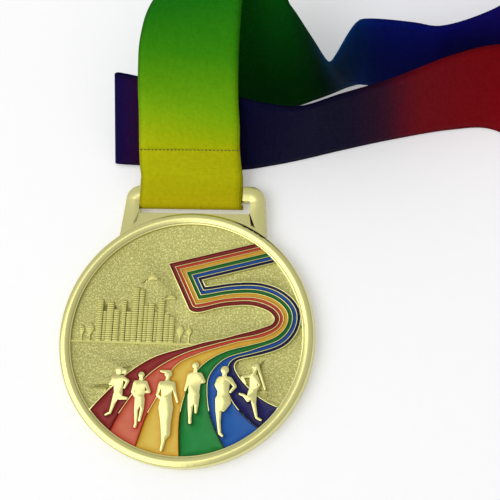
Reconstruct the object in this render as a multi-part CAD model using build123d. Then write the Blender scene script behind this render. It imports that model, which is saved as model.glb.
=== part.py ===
"""Finisher medal: a die-cast, gold-plated disc filled with coloured enamel, on a sewn neck strap.

Frame, in millimetres: the origin is the centre of the disc on its flat back, +Y runs towards the
hanger tab and +Z comes out of the decorated face. The medal lies on its back and the strap lies
and stands on the same surface, z = 0.
"""
import math
import os

from build123d import *

# ---- driving dimensions: medal --------------------------------------------------------------
DISC_RADIUS = 35.0
FIELD_RADIUS = 31.8          # inside of the raised rim
FIELD_Z = 2.6                # sandblasted ground of the face
RIM_Z = 4.05
CROWN = 0.3                  # the rim's face is gently domed by this much
LANE_FLOOR_Z = 2.2           # bottom of the enamel pockets
ENAMEL_Z = 3.2
WALL_Z = 3.6                 # metal lines between the enamel lanes
RUNNER_Z = 3.75
STEP_Z = 3.5                 # small step inside the rim
STEP_WIDTH = 0.4
WALL = 0.22                  # width of a line between two lanes
BORDER = 0.3                 # width of the line outside the first and the last lane
BORDER_SHIFT = 0.1           # the outer lanes reach this far past their lines
SMALLEST_POCKET = 0.15       # square millimetres; a smaller gap beside a runner fills with metal

TAB_BOTTOM_Z = 0.85
TAB_TOP_Z = 3.65
TAB_TOP_Y = 42.7
TAB_HALF_WIDTH = 18.9        # at the top; 20.6 at the foot
TAB_FOOT = (20.6, 26.0)
TAB_CORNER = 3.8
SLOT_LENGTH = 31.0
SLOT_LOW_Y = 34.9
SLOT_HIGH_Y = 38.6

# ---- driving dimensions: strap --------------------------------------------------------------
STRAP_WIDTH = 28.5
STRAP_THICKNESS = 0.7
LAYER = 0.95                 # from one layer to the next where the strap lies on itself
FOLD_LAYER = 1.0             # the same in the put-away length
LOOP_LEFT_X = -15.4
LOOP_END_Y = 45.0            # the loop round the tab's bar is a node of its own up to here
STITCHES = 26
STITCH_LENGTH = 0.75
THREAD = 0.35
SEAM_UP = (0.24, 0.37)       # where the seam crosses the legs, as shares of the slope's height
SEAM_LAYERS = 0.9            # from the rear leg's layer to the front leg's
SEAM_LAYER = 2.45            # the middle between the two

os.makedirs("parts", exist_ok=True)


def save(name, shape):
    export_step(shape, f"parts/{name}.step")


# ---- the five-shaped running track and its fan of lanes ----------------------------------------
# Each pair is a point on the maroon side and the point across the track on the navy side.
TRACK_START = ((20.2, 27.2), (25.5, 22.4))
TRACK_CORNER = ((-5.7, 20.5), (3.3, 16.4))
TRACK_TURN = ((1.3, 7.1), (4.5, 14.2))
TRACK_BOWL = [
    ((5.1, 7.9), (6.2, 14.4)),
    ((9.0, 9.0), (10.0, 15.1)),
    ((13.4, 9.6), (14.0, 15.6)),
    ((17.6, 9.7), (18.4, 15.7)),
    ((20.9, 8.9), (23.6, 14.6)),
    ((23.3, 7.6), (27.6, 12.3)),
    ((24.3, 5.8), (30.6, 8.2)),
    ((23.7, 4.6), (30.3, 3.2)),
    ((21.8, 3.6), (27.4, -0.9)),
    ((19.0, 2.6), (22.2, -3.3)),
]
LANE_SHARE = (0.0, 0.178, 0.34, 0.525, 0.705, 0.89, 1.0)   # where each line stands across the track
# Past the bowl every line runs its own way down to the rim.
FAN = [
    [(14.8, 1.4), (10.7, 0.14), (6, -0.95), (0.95, -2.5), (-3.8, -3.9), (-7.4, -5.2),
     (-13.3, -8.8), (-18.9, -13.8), (-25.8, -21.8)],
    [(15, 0.5), (6, -2), (0.95, -3.7), (-2.6, -5.4), (-6.2, -7.6), (-10.1, -11),
     (-13.3, -15.5), (-16.7, -21), (-19.2, -26.8)],
    [(15.2, -0.4), (10.5, -1.8), (6, -3.3), (2.1, -4.9), (-1.4, -6.9), (-2.9, -8.6),
     (-6.7, -16.4), (-8.6, -20.2), (-10, -24.3), (-11.9, -31.2)],
    [(15.6, -1.9), (12.7, -2.7), (10.3, -3.7), (7.9, -5), (4.2, -8.3), (1.7, -13.1),
     (0.3, -18.6), (0.05, -25), (0.75, -33)],
    [(17.4, -3.0), (13.9, -4.05), (11.5, -5.1), (9.3, -6.9), (7.9, -8.8), (7.1, -10.7),
     (6.95, -13.3), (7.3, -16.7), (8.1, -20.2), (9.6, -23.8), (13.4, -30.4)],
    [(16.2, -4.3), (13.9, -5.1), (12.7, -6.2), (12.1, -8.2), (12.1, -11.5), (13.5, -15.8),
     (15.4, -18.4), (17.8, -20.8), (22.6, -24.4)],
    [(18.6, -4.3), (15.8, -5), (14.3, -5.7), (13.7, -6.9), (14.1, -8.4), (15.8, -10.8),
     (20.05, -14.8), (28.2, -18.6)],
]
LANES = ("maroon", "red", "yellow", "green", "blue", "navy")


def between(pair, share):
    (x0, y0), (x1, y1) = pair
    return (x0 + (x1 - x0) * share, y0 + (y1 - y0) * share)


def lane_line(number):
    """Points of line 0 to 6: bar, stroke, bowl and fan, with the outer corner of the turn eased."""
    share = LANE_SHARE[number]
    turn = between(TRACK_TURN, share)
    ease = 1.9 * (1 - share / LANE_SHARE[2]) if share < LANE_SHARE[2] else 0
    corner = between(TRACK_CORNER, share)
    bend = [turn]
    if ease:
        along = math.dist(corner, turn)
        before = between((turn, corner), ease / along)
        after = between((turn, between(TRACK_BOWL[0], share)), 0.45)
        middle = between((between((before, after), 0.5), turn), 0.45)
        bend = [before, middle, after]
    bowl = [between(pair, share) for pair in TRACK_BOWL]
    return [between(TRACK_START, share), corner, *bend, *bowl, *FAN[number]]


def shifted(points, distance):
    """The same line moved sideways, to the left of its run, with mitred corners."""
    moved = []
    for i, (x, y) in enumerate(points):
        before = Vector(*points[max(i - 1, 0)])
        after = Vector(*points[min(i + 1, len(points) - 1)])
        here = Vector(x, y)
        ways = [w.normalized() for w in (here - before, after - here) if w.length > 0]
        way = sum(ways[1:], ways[0]).normalized()
        side = Vector(-way.Y, way.X)
        stretch = 1 / max(abs(way.dot(ways[0])), 0.5)
        moved.append((x + side.X * distance * stretch, y + side.Y * distance * stretch))
    return moved


def strip_between(number_a, shift_a, number_b, shift_b):
    """Face between two lane lines, closed past the rim and trimmed to the field."""
    line_a = shifted(lane_line(number_a), shift_a)
    line_b = shifted(lane_line(number_b), shift_b)
    wires = []
    for points in (line_a, line_b):
        wires.append(Polyline(*points[:3]))
        wires.append(Spline(*points[2:]))
    ends = [Line(line_a[0], line_b[0]), Line(line_a[-1], line_b[-1])]
    face = make_face(Curve() + wires + ends)
    return face & Circle(FIELD_RADIUS)


# ---- raised figures -----------------------------------------------------------------------------
# A figure is a list of limbs; a limb is a chain of (x, y, radius) joined by straight tangents.
RUNNERS = [
    [[(-17.3, -9.3, 1.15)], [(-17.0, -9.4, 0.8), (-15.8, -9.5, 0.7)],
     [(-18.5, -11.3, 0.7), (-16.4, -11.3, 0.7)], [(-17.4, -12.0, 1.35), (-17.2, -15.3, 1.2)],
     [(-18.7, -11.3, 0.6), (-19.6, -13.0, 0.45), (-18.7, -12.9, 0.35)],
     [(-16.3, -11.3, 0.6), (-14.8, -12.1, 0.45), (-15.6, -13.9, 0.35)],
     [(-17.6, -15.8, 0.95), (-18.3, -18.2, 0.6), (-19.0, -20.8, 0.35), (-20.2, -21.4, 0.3)],
     [(-16.9, -15.8, 0.95), (-16.8, -16.7, 0.6), (-14.8, -16.8, 0.38)]],
    [[(-11.15, -10.3, 0.85)], [(-11.15, -11.0, 0.5), (-11.2, -12.0, 0.6)],
     [(-12.6, -12.5, 0.65), (-9.9, -12.5, 0.65)], [(-11.3, -13.1, 1.45), (-11.2, -16.2, 1.2)],
     [(-12.7, -12.6, 0.55), (-13.3, -15.0, 0.4), (-12.3, -16.3, 0.38)],
     [(-9.8, -12.6, 0.55), (-8.7, -14.8, 0.42), (-10.1, -15.0, 0.38)],
     [(-11.6, -16.8, 0.95), (-11.9, -20.0, 0.58), (-11.7, -23.4, 0.38), (-11.9, -24.3, 0.4)],
     [(-10.7, -16.8, 0.95), (-10.3, -19.5, 0.52), (-10.8, -22.6, 0.38)]],
    [[(-3.8, -9.8, 1.05)], [(-4.3, -9.3, 0.5), (-5.9, -9.1, 0.32)],
     [(-3.9, -10.8, 0.5), (-3.9, -11.9, 0.6)], [(-5.6, -12.5, 0.65), (-2.3, -12.5, 0.65)],
     [(-3.9, -13.2, 1.7), (-3.9, -15.5, 1.4), (-3.9, -18.6, 1.95)],
     [(-5.8, -12.8, 0.55), (-6.5, -15.6, 0.4), (-5.4, -16.6, 0.35)],
     [(-2.2, -12.8, 0.55), (-1.5, -15.3, 0.4), (-0.8, -17.3, 0.35)],
     [(-4.5, -18.8, 1.4), (-4.1, -22.5, 1.0), (-3.9, -25.5, 0.8), (-3.9, -28.4, 0.5),
      (-4.3, -30.3, 0.4)],
     [(-3.2, -18.8, 1.4), (-3.2, -23.0, 1.0), (-2.9, -26.0, 0.75), (-3.7, -27.2, 0.6)]],
    [[(3.5, -7.3, 0.95)], [(3.5, -8.2, 0.5), (3.5, -9.3, 0.6)],
     [(2.2, -9.9, 0.7), (4.9, -9.9, 0.7)], [(3.5, -10.9, 1.75), (3.5, -14.8, 1.45)],
     [(2.0, -10.1, 0.6), (1.5, -12.4, 0.45), (1.1, -14.0, 0.35)],
     [(5.1, -10.1, 0.6), (6.1, -11.6, 0.42), (5.2, -11.9, 0.38)],
     [(3.0, -15.4, 1.15), (2.8, -18.6, 0.72), (2.9, -21.5, 0.42), (3.0, -22.7, 0.45)],
     [(4.1, -15.4, 1.05), (4.4, -18.0, 0.58), (4.4, -19.9, 0.38)]],
    [[(11.5, -8.3, 1.1)], [(11.5, -9.2, 0.6), (11.5, -10.4, 0.7)],
     [(10.3, -10.8, 0.75), (12.9, -10.8, 0.75)], [(11.5, -11.7, 1.6), (11.3, -15.6, 1.45)],
     [(10.0, -11.0, 0.6), (9.4, -12.4, 0.45), (10.1, -13.7, 0.4)],
     [(13.2, -11.0, 0.65), (14.6, -12.7, 0.45), (13.4, -14.1, 0.4)],
     [(10.7, -16.2, 1.3), (10.5, -19.2, 0.85), (10.7, -22.0, 0.55), (11.2, -25.3, 0.42),
      (12.0, -26.0, 0.3)],
     [(12.0, -16.0, 1.35), (12.8, -17.0, 0.9), (11.8, -18.9, 0.6)]],
    [[(19.8, -7.2, 0.95)], [(20.2, -6.6, 0.4), (21.3, -9.5, 0.32), (22.7, -13.1, 0.3)],
     [(19.7, -8.2, 0.45), (19.5, -9.4, 0.5)], [(19.4, -10.1, 1.05), (19.5, -13.6, 1.05)],
     [(18.8, -9.5, 0.5), (16.3, -10.1, 0.35), (17.4, -11.8, 0.3)],
     [(20.1, -9.8, 0.5), (21.1, -12.0, 0.35), (20.2, -13.6, 0.3)],
     [(19.5, -14.2, 1.05), (19.9, -17.2, 0.6), (20.8, -20.8, 0.35), (22.0, -21.4, 0.3)],
     [(19.1, -14.0, 1.0), (18.3, -16.1, 0.6), (17.0, -14.9, 0.4), (15.9, -14.6, 0.3)]],
]


def limb(chain):
    pieces = [Pos(x, y) * Circle(r) for x, y, r in chain]
    for (x0, y0, r0), (x1, y1, r1) in zip(chain, chain[1:]):
        way = math.atan2(y1 - y0, x1 - x0)
        lean = math.acos((r0 - r1) / math.dist((x0, y0), (x1, y1)))
        corners = []
        for x, y, r, turn in ((x0, y0, r0, lean), (x1, y1, r1, lean),
                              (x1, y1, r1, -lean), (x0, y0, r0, -lean)):
            corners.append((x + r * math.cos(way + turn), y + r * math.sin(way + turn)))
        pieces.append(make_face(Polyline(*corners, close=True)))
    return pieces


def runner(limbs):
    pieces = [piece for chain in limbs for piece in limb(chain)]
    return Sketch() + pieces


# ---- skyline: blocks with window bands, trees, clouds and the horizon -------------------------------
# Blocks are (left x, right x, roof y, top z); their foot is the horizon, and a gap parts them.
BLOCK_GAP = 0.1
HORIZON_Y = -1.15
HORIZON_THICKNESS = 0.6
HORIZON_END_X = 3.5
BLOCKS = [
    (-24.9, -23.35, 10.3, 3.2), (-23.35, -22.3, 7.2, 2.95), (-22.3, -20.35, 9.7, 3.2),
    (-20.35, -18.7, 7.6, 3.0), (-18.0, -16.85, 10.2, 3.2), (-16.85, -15.2, 7.2, 2.95),
    (-15.2, -13.5, 14.0, 3.25), (-13.5, -12.05, 13.4, 3.1), (-12.05, -10.8, 9.2, 2.95),
    (-10.8, -9.05, 9.6, 3.2), (-9.05, -8.05, 7.2, 2.95), (-8.05, -6.25, 10.6, 3.2),
    (-6.25, -4.7, 6.9, 3.0), (-4.7, -3.2, 5.9, 3.15),
]
TREE_Z = 3.05
WINDOW_PITCH = 0.6
WINDOW_DEPTH = 0.2
TREES = [(-28.9, 1.6, 0.75, 1.5), (-26.6, 2.0, 1.05, 1.9), (-1.6, 2.0, 1.05, 1.9), (0.9, 1.9, 0.75, 1.4)]
CLOUDS = [
    [(-11.0, 16.5, 0.5), (-10.2, 17.0, 0.8), (-9.2, 16.5, 0.45)],
    [(-5.4, 11.3, 0.4), (-4.5, 11.6, 0.6), (-3.8, 11.2, 0.4)],
]


def block(left, right, roof, top):
    """A tower: its side profile carries the window bands and is extruded across its width."""
    profile = [(HORIZON_Y, FIELD_Z)]
    level = HORIZON_Y
    while level + WINDOW_PITCH < roof:
        profile += [(level, top), (level + WINDOW_PITCH * 0.66, top),
                    (level + WINDOW_PITCH * 0.76, top - WINDOW_DEPTH),
                    (level + WINDOW_PITCH * 0.9, top - WINDOW_DEPTH)]
        level += WINDOW_PITCH
    profile += [(level, top), (roof, top), (roof, FIELD_Z)]
    side = Plane(origin=(left, 0, 0), x_dir=(0, 1, 0), z_dir=(1, 0, 0))
    return extrude(side * make_face(Polyline(*profile, close=True)), right - left - BLOCK_GAP)


def tree(x, y, half_width, half_height):
    crown = make_face(Polyline((x, y + half_height), (x + half_width * 0.75, y + half_height * 0.5),
                               (x + half_width, y), (x, y - half_height), (x - half_width, y),
                               (x - half_width * 0.75, y + half_height * 0.5), close=True))
    return crown + Pos(x, (HORIZON_Y + y) / 2) * Rectangle(0.3, y - HORIZON_Y)


def raised(sketch, top):
    """Relief from just under the field, so that it grows out of the ground, up to its own height."""
    return extrude(Pos(0, 0, FIELD_Z - 0.2) * sketch, top - FIELD_Z + 0.2)


def relief():
    solids = [block(*sizes) for sizes in BLOCKS]
    solids += [raised(tree(*sizes), TREE_Z) for sizes in TREES]
    solids += [raised(Sketch() + limb(cloud), TREE_Z) for cloud in CLOUDS]
    start_x = -math.sqrt(FIELD_RADIUS ** 2 - HORIZON_Y ** 2)
    width = HORIZON_END_X - start_x
    ledge_y = HORIZON_Y - HORIZON_THICKNESS / 2
    ledge = Pos(start_x + width / 2, ledge_y) * Rectangle(width, HORIZON_THICKNESS)
    solids.append(raised(ledge, FIELD_Z + 0.4))
    return solids


# ---- the casting ------------------------------------------------------------------------------------
def disc():
    """Turned blank: flat back, domed rim with a small step inside it, recessed field."""
    low_z = RIM_Z - CROWN
    inner = FIELD_RADIUS + STEP_WIDTH
    outer = DISC_RADIUS - 0.25
    edge = Polyline((inner + 0.1, low_z), (inner, low_z - 0.1), (inner, STEP_Z), (FIELD_RADIUS, STEP_Z),
                    (FIELD_RADIUS, FIELD_Z), (0, FIELD_Z), (0, 0), (DISC_RADIUS - 0.5, 0),
                    (DISC_RADIUS, 0.5), (DISC_RADIUS, low_z - 0.35), (outer, low_z))
    crown = ThreePointArc((outer, low_z), ((inner + outer) / 2, RIM_Z), (inner + 0.1, low_z))
    return revolve(Plane.XZ * make_face(Curve() + [edge, crown]), Axis.Z)


def tab():
    foot_x, foot_y = TAB_FOOT
    outline = Polyline((-foot_x, foot_y), (-TAB_HALF_WIDTH, TAB_TOP_Y), (TAB_HALF_WIDTH, TAB_TOP_Y),
                       (foot_x, foot_y), close=True)
    plate = make_face(outline)
    plate = fillet(plate.vertices().group_by(Axis.Y)[-1], TAB_CORNER) - Circle(DISC_RADIUS - 0.8)
    return extrude(Pos(0, 0, TAB_BOTTOM_Z) * plate, TAB_TOP_Z - TAB_BOTTOM_Z)


def slot():
    height = SLOT_HIGH_Y - SLOT_LOW_Y
    hole = Pos(0, SLOT_LOW_Y + height / 2) * RectangleRounded(SLOT_LENGTH, height, 0.4)
    return extrude(hole, RIM_Z + 1)


figures = [runner(limbs) for limbs in RUNNERS]
all_figures = Sketch() + [face for figure in figures for face in figure.faces()]
track = strip_between(0, -BORDER_SHIFT - BORDER, len(LANES), BORDER_SHIFT + BORDER)
if track.area < 100:
    raise ValueError("the track outline is inside out")

pockets = {}
for number, lane in enumerate(LANES):
    near = -BORDER_SHIFT if number == 0 else WALL / 2
    far = BORDER_SHIFT if number == len(LANES) - 1 else -WALL / 2
    cell = strip_between(number, near, number + 1, far) - all_figures
    pockets[lane] = Sketch() + [face for face in cell.faces() if face.area > SMALLEST_POCKET]

medal = disc() + tab() - slot()
medal = medal + raised(track, WALL_Z)
for pocket in pockets.values():
    medal = medal - extrude(Pos(0, 0, LANE_FLOOR_Z) * pocket, RUNNER_Z)
medal = medal + [raised(figure, RUNNER_Z) for figure in figures]
medal = medal + relief()
save("medal_body", medal)

# Each lane's enamel is its own pour; a runner's arm may part off a small pool of it.
for lane, pocket in pockets.items():
    save("enamel_" + lane, extrude(Pos(0, 0, LANE_FLOOR_Z) * pocket, ENAMEL_Z - LANE_FLOOR_Z))


# ---- the strap: one flat strip, given by its left and right edge at each station ---------------------
# Left and right are the strip's own edges as it climbs away from the medal, face up.
def evened(left, right):
    """The station with the same middle and lie, and exactly the strap's width."""
    left, right = Vector(*left), Vector(*right)
    middle = (left + right) * 0.5
    half = (right - left).normalized() * (STRAP_WIDTH / 2)
    return (middle - half, middle + half)


def half_turn(station, outward, rise, steps=4):
    """Stations of a fold: the strip goes round a small radius and comes back rise higher."""
    left, right = station
    radius = abs(rise) / 2
    turned = []
    for step in range(steps + 1):
        angle = math.pi * step / steps
        move = Vector(*outward).normalized() * (radius * math.sin(angle))
        move += Vector(0, 0, rise / 2 * (1 - math.cos(angle)))
        turned.append((left + move, right + move))
    return turned


# The strap stands behind the medal as a leaning band; three more layers lie on that slope.
SLOPE_FOOT = (Vector(-24.0, 50.6, 0.6), Vector(12.3, 48.7, 0.6))
SLOPE_TOP = (Vector(-20.5, 69.1, 22.0), Vector(16.0, 60.1, 26.5))
SLOPE_NORMAL = Vector(-0.08, -0.82, 0.57)


def on_slope(along, up, layer):
    """Point on the slope: along 0 to 1 from its left end, up 0 to 1 from its foot."""
    foot = SLOPE_FOOT[0] + (SLOPE_FOOT[1] - SLOPE_FOOT[0]) * along
    top = SLOPE_TOP[0] + (SLOPE_TOP[1] - SLOPE_TOP[0]) * along
    return foot + (top - foot) * up + SLOPE_NORMAL * (LAYER * layer)


LEG_LEFT = 0.21              # where the legs' edges cross the slope, as shares of its length
LEG_RIGHT = 0.99
LAYER_Z = (TAB_BOTTOM_Z - 0.1 - STRAP_THICKNESS / 2, TAB_TOP_Z + 0.1 + STRAP_THICKNESS / 2)
LOOP_RADIUS = (LAYER_Z[1] - LAYER_Z[0]) / 2
LOOP_MIDDLE = (LAYER_Z[0] + LAYER_Z[1]) / 2


def across(y, z, shift=0.0):
    """Station square across the tab."""
    left = Vector(LOOP_LEFT_X + shift, y, z)
    return (left, left + Vector(STRAP_WIDTH, 0, 0))


def slot_loop():
    """Round the tab's bar: down its front, through the slot and up its back."""
    stations = [across(LOOP_END_Y, LAYER_Z[1]), across(SLOT_HIGH_Y, LAYER_Z[1])]
    for step in range(1, 6):
        angle = math.pi * step / 6
        y = SLOT_HIGH_Y - LOOP_RADIUS * math.sin(angle)
        stations.append(across(y, LOOP_MIDDLE + LOOP_RADIUS * math.cos(angle)))
    stations += [across(SLOT_HIGH_Y, LAYER_Z[0]), across(LOOP_END_Y, LAYER_Z[0])]
    return stations


# Over the crest and down again, turned to stand on its left edge. These stations follow the
# folds, some of which run askew, so they may be longer than the strap is wide.
CREST = [
    ((-13.5, 63.9, 22.8), (14.8, 59.8, 27.5)),
    ((-13.3, 69.0, 25.4), (14.9, 65.3, 30.0)),
    ((-13.0, 76.0, 27.2), (15.0, 73.0, 32.0)),
    ((-11.2, 84.6, 28.0), (16.0, 86.2, 36.2)),
    ((-8.3, 89.3, 27.8), (17.8, 94.5, 37.8)),
    ((-4.4, 90.0, 26.0), (20.2, 96.9, 38.4)),
    ((-0.9, 86.2, 22.5), (21.9, 96.6, 35.5)),
    ((1.8, 80.7, 17.5), (23.2, 94.8, 33.0)),
    ((5.0, 74.8, 11.5), (24.3, 92.5, 30.5)),
    ((9.9, 68.8, 5.5), (25.1, 90.4, 28.0)),
    ((16.8, 65.7, 2.0), (26.0, 88.5, 26.5)),
    ((25.0, 66.8, 0.6), (26.6, 86.9, 26.0)),
    ((30.9, 68.9, 0.6), (27.4, 85.8, 26.0)),
    ((32.0, 69.3, 0.6), (28.5, 84.2, 26.3)),
    ((36.2, 71.1, 0.6), (33.9, 75.8, 28.0)),
    ((39.6, 72.7, 0.6), (38.3, 69.4, 28.8)),
]
# Standing on its left edge, away to the right.
STANDING_AWAY = [
    ((40.5, 73.0, 0.6), (39.1, 69.4, 28.8)),
    ((42.2, 73.5, 0.6), (43.7, 77.9, 28.7)),
    ((42.9, 73.7, 0.6), (45.2, 80.5, 28.1)),
    ((43.8, 73.7, 0.6), (46.2, 81.5, 27.9)),
    ((47.0, 73.3, 0.6), (48.7, 81.8, 27.8)),
    ((52.3, 72.5, 0.6), (54.2, 81.5, 27.6)),
    ((58.9, 71.9, 0.6), (60.5, 80.7, 27.6)),
    ((65.7, 71.8, 0.6), (67.1, 79.6, 27.9)),
    ((79.0, 74.0, 0.6), (80.5, 84.5, 27.0)),
    ((87.0, 76.3, 0.6), (89.0, 91.5, 24.5)),
    ((93.5, 77.8, 0.6), (95.5, 101.0, 17.0)),
    ((99.0, 78.4, 0.6), (100.5, 106.0, 7.0)),
]
# The other end's stretch, from the put-away length back to the left end of the slope.
STANDING_BACK = [
    ((100.0, 75.2, 6.5), (99.5, 47.6, 0.6)),
    ((94.0, 76.4, 15.0), (93.0, 52.0, 0.6)),
    ((88.0, 77.0, 21.0), (87.0, 57.6, 0.6)),
    ((80.0, 75.2, 25.2), (79.0, 61.2, 0.6)),
    ((69.8, 71.7, 26.8), (68.7, 60.7, 0.6)),
    ((55.0, 65.0, 28.1), (53.0, 57.8, 0.6)),
    ((41.9, 60.7, 28.3), (39.0, 54.5, 0.6)),
    ((31.5, 57.3, 28.3), (28.1, 51.7, 0.6)),
    ((23.5, 58.1, 27.6), (19.8, 49.9, 0.6)),
]

# The length that is put away lies flat beside the rest: runs folded on each other.
RUN_START_X = 106.0
RUN_LENGTH = 46.0
LAYERS = 5                   # runs in each of the two stacks; an odd number
AWAY_LOW_Y = 78.5
BACK_LOW_Y = 46.0
GROUND = 0.45


def flat_run(x, low_y, z):
    """Station square across a put-away run; its far edge is the right one on the way out."""
    return (Vector(x, low_y, z), Vector(x, low_y + STRAP_WIDTH, z))


def put_away():
    """Out through one stack of runs, across by two corner folds and back through the other."""
    end_x = RUN_START_X + RUN_LENGTH
    square_x = end_x - STRAP_WIDTH - 2
    heights = [GROUND + FOLD_LAYER * layer for layer in range(LAYERS + 1)]
    stack = [flat_run(RUN_START_X, AWAY_LOW_Y, heights[0])]
    for layer in range(LAYERS - 1):
        outbound = layer % 2 == 0
        x = end_x if outbound else RUN_START_X + 2
        fold_way = (1 if outbound else -1, 0, 0)
        stack += half_turn(flat_run(x, AWAY_LOW_Y, heights[layer]), fold_way, FOLD_LAYER)
    stack.append(flat_run(square_x - 3, AWAY_LOW_Y, heights[-2]))
    near = Vector(square_x + STRAP_WIDTH, AWAY_LOW_Y, heights[-2])
    far = Vector(square_x, AWAY_LOW_Y + STRAP_WIDTH, heights[-2])
    stack += half_turn((near, far), (1, 1, 0), FOLD_LAYER)
    # The second stack is the first one mirrored across the line between them, in reverse order.
    mirror_y = AWAY_LOW_Y + BACK_LOW_Y + STRAP_WIDTH
    mirrored = []
    for station in reversed(stack):
        mirrored.append(tuple(Vector(point.X, mirror_y - point.Y, point.Z) for point in station))
    return stack + mirrored


def rear_leg():
    """On the slope: the band, turned at its left end, then folded down into the rear leg."""
    stations = [(on_slope(along, 1, 0), on_slope(along, 0, 0)) for along in (1.0, 0.7, 0.35, 0.02)]
    turn = LAYER / 2
    for angle in (45, 90, 135):
        lift = SLOPE_NORMAL * (turn * (1 - math.cos(math.radians(angle))))
        out = Vector(-turn * math.sin(math.radians(angle)), 0, 0)
        stations.append((on_slope(0.02, 1, 0) + lift + out, on_slope(0.02, 0, 0) + lift + out))
    stations += [(on_slope(along, 1, 1), on_slope(along, 0, 1)) for along in (0.02, LEG_LEFT - 0.03)]
    fold = (on_slope(LEG_LEFT, 1, 1), on_slope(LEG_RIGHT, 0, 1))
    for angle in (0, 60, 120, 180):
        lift = SLOPE_NORMAL * (turn * (1 - math.cos(math.radians(angle))))
        out = (SLOPE_TOP[1] - SLOPE_FOOT[0]).normalized() * (turn * math.sin(math.radians(angle)))
        stations.append((fold[0] + lift + out, fold[1] + lift + out))
    stations.append((on_slope(LEG_LEFT, 0, 2), on_slope(LEG_RIGHT, 0, 2)))
    stations += [across(46.6, 0.75), across(45.7, LAYER_Z[0]), across(LOOP_END_Y, LAYER_Z[0])]
    return stations


def front_leg():
    """From the loop up the slope; it lifts off the bar in an easy bend, and to the seam askew."""
    stations = [across(LOOP_END_Y, LAYER_Z[1]), across(45.7, LAYER_Z[1])]
    stations.append((Vector(-15.8, 47.6, 4.75), Vector(12.85, 47.0, 5.6)))
    for left_up, right_up in (SEAM_UP, (0.45, 0.45), (0.7, 0.7)):
        stations.append((on_slope(LEG_LEFT, left_up, 2.9), on_slope(LEG_RIGHT, right_up, 2.9)))
    return stations


def strip(stations):
    """Closed strip of the strap's thickness: four ruled walls between each two stations."""
    middles = [(left + right) * 0.5 for left, right in stations]
    sections = []
    for i, (left, right) in enumerate(stations):
        way = middles[min(i + 1, len(middles) - 1)] - middles[max(i - 1, 0)]
        lift = (right - left).cross(way).normalized() * (STRAP_THICKNESS / 2)
        sections.append([left - lift, right - lift, right + lift, left + lift])
    walls = [make_face(Polyline(*section, close=True)) for section in (sections[0], sections[-1])]
    for near, far in zip(sections, sections[1:]):
        for corner in range(4):
            following = (corner + 1) % 4
            near_edge = Edge.make_line(near[corner], near[following])
            far_edge = Edge.make_line(far[corner], far[following])
            walls.append(Face.make_surface_from_curves(near_edge, far_edge))
    return Solid(Shell(walls))


def seam():
    """Row of stitches through both legs, rising slightly to the right."""
    start = on_slope(LEG_LEFT, SEAM_UP[0], SEAM_LAYER)
    end = on_slope(LEG_RIGHT, SEAM_UP[1], SEAM_LAYER)
    way = (end - start).normalized()
    through = (SEAM_LAYERS * LAYER) + STRAP_THICKNESS + THREAD
    stitches = []
    for number in range(STITCHES):
        middle = start + (end - start) * ((number + 0.5) / STITCHES)
        plane = Plane(origin=middle, x_dir=way, z_dir=SLOPE_NORMAL.normalized())
        stitches.append(plane * Box(STITCH_LENGTH, THREAD, through))
    return Compound(stitches)


loop_stations = slot_loop()
strap_stations = front_leg()
strap_stations += [(Vector(*left), Vector(*right)) for left, right in CREST]
strap_stations += [evened(*station) for station in STANDING_AWAY]
strap_stations += put_away()
strap_stations += [evened(*station) for station in STANDING_BACK]
strap_stations += rear_leg()
save("ribbon_slot_loop", strip(loop_stations))
save("neck_ribbon", strip(strap_stations))
save("seam_thread", seam())

length = 0
for stations in (loop_stations, strap_stations):
    middles = [(left + right) * 0.5 for left, right in stations]
    length += sum((b - a).length for a, b in zip(middles, middles[1:]))
print(f"strap {length:.0f} mm long, {len(strap_stations)} stations")
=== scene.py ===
# %% [markdown]
# # A finisher medal on its sewn neck strap
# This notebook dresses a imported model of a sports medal: a gold-plated casting with soft enamel
# poured between its raised lines, and a woven strap printed with a rainbow.
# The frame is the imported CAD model. Nothing in it moves; pieces are added or repainted on it.

# %% Load the frame
import math
import bpy
import bmesh
from mathutils import Vector, Matrix, kdtree
from mathutils.bvhtree import BVHTree
from mathutils.geometry import delaunay_2d_cdt


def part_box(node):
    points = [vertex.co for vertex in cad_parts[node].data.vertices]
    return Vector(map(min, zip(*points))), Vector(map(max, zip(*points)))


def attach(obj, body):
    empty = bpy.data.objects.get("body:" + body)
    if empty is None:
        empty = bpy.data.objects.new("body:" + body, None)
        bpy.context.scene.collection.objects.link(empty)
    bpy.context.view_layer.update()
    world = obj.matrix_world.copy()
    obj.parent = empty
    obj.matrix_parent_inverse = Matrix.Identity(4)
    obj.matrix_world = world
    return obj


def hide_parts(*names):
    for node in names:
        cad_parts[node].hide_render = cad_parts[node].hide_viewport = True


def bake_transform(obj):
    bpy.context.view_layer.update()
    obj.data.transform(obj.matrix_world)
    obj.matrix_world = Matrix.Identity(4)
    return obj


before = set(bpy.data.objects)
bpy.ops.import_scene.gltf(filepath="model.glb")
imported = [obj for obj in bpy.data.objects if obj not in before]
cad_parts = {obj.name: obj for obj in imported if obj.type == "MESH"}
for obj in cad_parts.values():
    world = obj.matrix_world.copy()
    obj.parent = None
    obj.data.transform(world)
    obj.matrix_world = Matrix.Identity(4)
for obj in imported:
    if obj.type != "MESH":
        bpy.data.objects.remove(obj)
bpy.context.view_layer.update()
MM = 0.001

# %% [markdown]
# ## Camera
# The camera looks down on the medal from its lower right, 477 mm away, with a long lens, so the
# disc stays nearly round. It is placed by its position, the point that it looks at and the way
# that its top edge leans, which is easier to read than three angles.

# %% Camera
CAMERA_AT = Vector((98.2, -90.6, 455.4)) * MM
LOOK_AT = Vector((15.57, 25.79, 0.0)) * MM
CAMERA_UP = Vector((-0.0186, 0.9679, 0.2508))
LENS_MM = 125.85

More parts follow.
